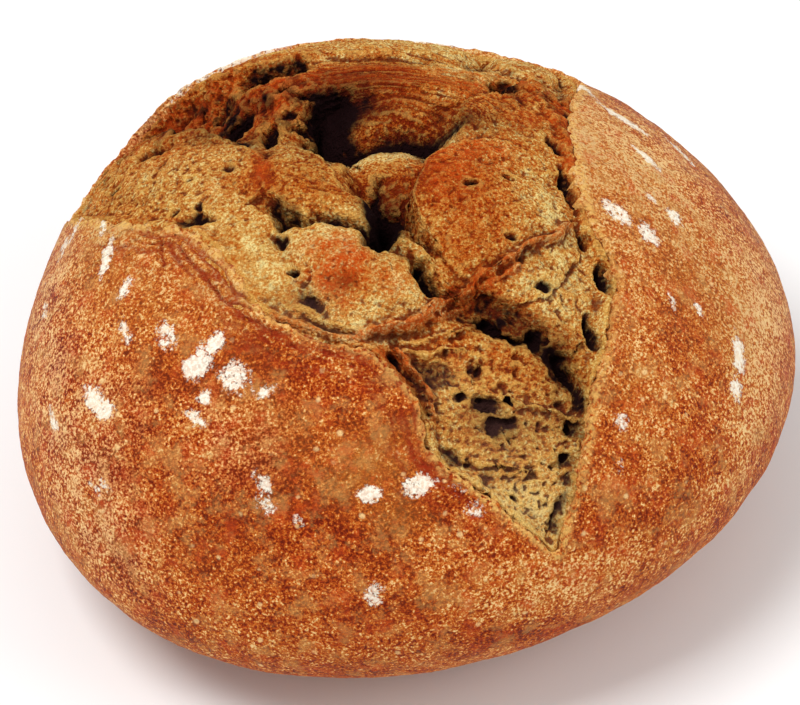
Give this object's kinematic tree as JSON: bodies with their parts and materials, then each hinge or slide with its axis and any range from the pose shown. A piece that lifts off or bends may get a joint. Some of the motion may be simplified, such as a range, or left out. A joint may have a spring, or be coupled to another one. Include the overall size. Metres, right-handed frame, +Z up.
{
  "type": "rye bread loaf",
  "caption": "Whole round hearth-baked rye loaf with a speckled brown crust, a deep craggy burst across its top, and a flat foot to rest on.",
  "frame": {"origin": "the middle of the loaf's box in X and Y, at the level of the flat foot that it rests on", "axes": "+Z up through the crown, +X along the loaf's wider diameter, -Y towards the front, where the burst runs down to a point"},
  "size_m": [0.2052, 0.1946, 0.1127],
  "materials": {
    "crust": "baked rye crust: satin, speckled with bran, with patches of flour",
    "crumb": "torn and toasted rye crumb: matt, sandy and porous"
  },
  "bodies": {
    "root": {"loaf": "crust"}
  },
  "joints": []
}
